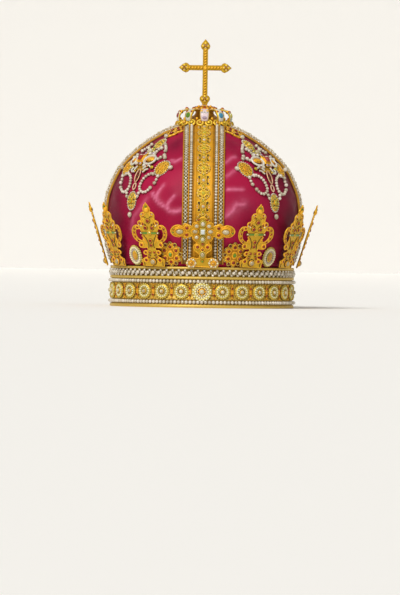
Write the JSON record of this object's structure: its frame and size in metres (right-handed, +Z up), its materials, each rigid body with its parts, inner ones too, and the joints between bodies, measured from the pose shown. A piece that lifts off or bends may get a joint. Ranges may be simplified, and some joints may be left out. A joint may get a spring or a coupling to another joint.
{
  "type": "jewelled mitre",
  "caption": "Bulbous silk mitre with gold straps, pearl strings, sprays of pearls, a gold circlet with leaning fleurons, a front cross and a finial cross.",
  "frame": {"origin": "middle of the circlet's lower rim, at floor level", "axes": "+Z up through the finial's cross, -Y towards the front cross, +X to the wearer's left"},
  "size_m": [0.2474, 0.2474, 0.2897],
  "materials": {
    "silk": "satin",
    "lining": "matte",
    "gold": "satin",
    "pearl": "gloss",
    "garnet": "gloss",
    "green_stone": "gloss",
    "enamel": "gloss"
  },
  "bodies": {
    "root": {"circlet": "gold", "circlet_pearl_braid": "pearl", "circlet_pearls_lower": "pearl", "circlet_pearls_upper": "pearl", "collet_cluster_back_left": "gold", "collet_cluster_back_right": "gold", "collet_cluster_front_left": "gold", "collet_cluster_front_right": "gold", "cross": "gold", "finial": "gold", "fleuron_01": "gold", "fleuron_02": "gold", "fleuron_03": "gold", "fleuron_04": "gold", "fleuron_05": "gold", "fleuron_06": "gold", "fleuron_07": "gold", "fleuron_08": "gold", "fleuron_09": "gold", "fleuron_10": "gold", "fleuron_11": "gold", "front_cross": "gold", "lining": "lining", "pearl_stud_back_left": "pearl", "pearl_stud_back_right": "pearl", "pearl_stud_front_left": "pearl", "pearl_stud_front_right": "pearl", "rosette_back_a": "gold", "rosette_back_b": "gold", "rosette_front_a": "gold", "rosette_front_b": "gold", "rosette_left_a": "gold", "rosette_left_b": "gold", "rosette_right_a": "gold", "rosette_right_b": "gold", "silk_panel_back_left": "silk", "silk_panel_back_right": "silk", "silk_panel_front_left": "silk", "silk_panel_front_right": "silk", "spray_back_left": "pearl", "spray_back_right": "pearl", "spray_front_left": "pearl", "spray_front_right": "pearl", "strap_back": "gold", "strap_front": "gold", "strap_left": "gold", "strap_pearls_back_a": "pearl", "strap_pearls_back_b": "pearl", "strap_pearls_front_a": "pearl", "strap_pearls_front_b": "pearl", "strap_pearls_left_a": "pearl", "strap_pearls_left_b": "pearl", "strap_pearls_right_a": "pearl", "strap_pearls_right_b": "pearl", "strap_right": "gold"}
  },
  "joints": []
}
